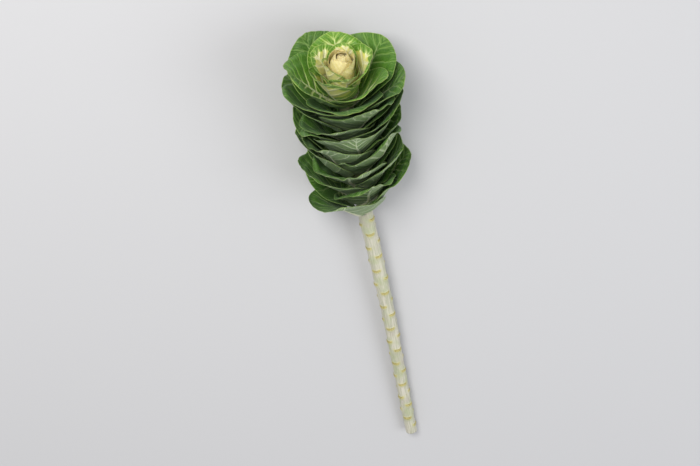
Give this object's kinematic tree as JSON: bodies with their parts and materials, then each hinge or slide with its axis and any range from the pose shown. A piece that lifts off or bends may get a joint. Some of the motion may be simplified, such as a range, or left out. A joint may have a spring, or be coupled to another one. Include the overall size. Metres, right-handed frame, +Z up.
{
  "type": "ornamental kale stem",
  "caption": "Cut ornamental kale stem lying down: a pale scarred stem, a spiral column of round green leaves and a rosette round a cream heart.",
  "frame": {"origin": "centre of the bounding box in X and Y, on the floor that the stem lies on", "axes": "+Y from the cut end towards the head, +Z up, +X to the right of the head seen from above with the head away"},
  "size_m": [0.1466, 0.6026, 0.1579],
  "materials": {
    "stem": "matte pale green-white stem with ochre leaf scars",
    "leaf": "dark green waxy leaf with pale veins and margin",
    "ring_leaf": "lime to yellow-cream leaf with white veins",
    "bud": "cream heart leaf with tan frilled edge"
  },
  "bodies": {
    "root": {"stem": "stem", "leaf_01": "leaf", "leaf_02": "leaf", "leaf_03": "leaf", "leaf_04": "leaf", "leaf_05": "leaf", "leaf_06": "leaf", "leaf_07": "leaf", "leaf_08": "leaf", "leaf_09": "leaf", "leaf_10": "leaf", "leaf_11": "leaf", "leaf_12": "leaf", "leaf_13": "leaf", "leaf_14": "leaf", "leaf_15": "leaf", "leaf_16": "leaf", "leaf_17": "leaf", "leaf_18": "leaf", "leaf_19": "leaf", "leaf_20": "leaf", "leaf_21": "leaf", "leaf_22": "leaf", "leaf_23": "leaf", "leaf_24": "leaf", "leaf_25": "leaf", "leaf_26": "leaf", "leaf_27": "leaf", "leaf_28": "leaf", "leaf_29": "leaf", "leaf_30": "leaf", "leaf_31": "leaf", "leaf_32": "leaf", "leaf_33": "ring_leaf", "leaf_34": "ring_leaf", "leaf_35": "ring_leaf", "leaf_36": "ring_leaf", "leaf_37": "ring_leaf", "leaf_38": "ring_leaf", "leaf_39": "ring_leaf", "leaf_40": "ring_leaf", "leaf_41": "bud", "leaf_42": "bud", "leaf_43": "bud", "leaf_44": "bud", "leaf_45": "bud", "leaf_46": "bud", "heart_bud": "bud"}
  },
  "joints": []
}
